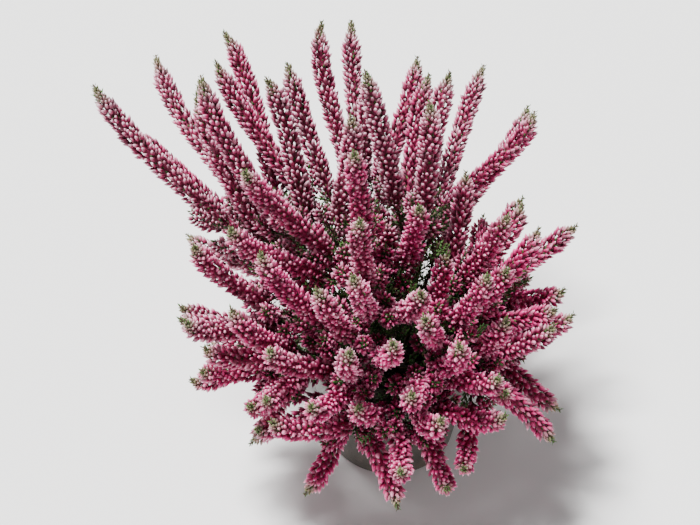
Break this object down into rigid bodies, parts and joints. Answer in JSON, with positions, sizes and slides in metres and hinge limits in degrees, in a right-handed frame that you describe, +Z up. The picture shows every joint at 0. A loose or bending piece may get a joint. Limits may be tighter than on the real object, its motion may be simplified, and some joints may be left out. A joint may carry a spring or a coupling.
{
  "type": "potted heather",
  "caption": "Bushy flowering heather in a round tapered nursery pot: arching woody sprays with long bud spikes, and short leafy shoots, standing in peat.",
  "frame": {"origin": "centre of the pot's flat base, which the plant stands on", "axes": "+Z up. +X towards the side where the shoots are short, -Y the front, where they arch over the rim"},
  "size_m": [0.311, 0.3053, 0.2522],
  "materials": {
    "taupe_plastic": "satin",
    "peat": "matte",
    "heather_pink": "matte",
    "heather_green": "matte"
  },
  "bodies": {
    "root": {"leafy_shoot_01": "heather_green", "leafy_shoot_02": "heather_green", "leafy_shoot_03": "heather_green", "leafy_shoot_04": "heather_green", "leafy_shoot_05": "heather_green", "leafy_shoot_06": "heather_green", "leafy_shoot_07": "heather_green", "leafy_shoot_08": "heather_green", "leafy_shoot_09": "heather_green", "leafy_shoot_10": "heather_green", "leafy_shoot_11": "heather_green", "leafy_shoot_12": "heather_green", "pot": "taupe_plastic", "soil": "peat", "spray_01": "heather_pink", "spray_02": "heather_pink", "spray_03": "heather_pink", "spray_04": "heather_pink", "spray_05": "heather_pink", "spray_06": "heather_pink", "spray_07": "heather_pink", "spray_08": "heather_pink", "spray_09": "heather_pink", "spray_10": "heather_pink", "spray_11": "heather_pink", "spray_12": "heather_pink", "spray_13": "heather_pink", "spray_14": "heather_pink", "spray_15": "heather_pink", "spray_16": "heather_pink", "spray_17": "heather_pink", "spray_18": "heather_pink", "spray_19": "heather_pink", "spray_20": "heather_pink", "spray_21": "heather_pink", "spray_22": "heather_pink", "spray_23": "heather_pink", "spray_24": "heather_pink", "spray_25": "heather_pink", "spray_26": "heather_pink", "spray_27": "heather_pink", "spray_28": "heather_pink", "spray_29": "heather_pink", "spray_30": "heather_pink", "spray_31": "heather_pink", "spray_32": "heather_pink", "spray_33": "heather_pink"}
  },
  "joints": []
}
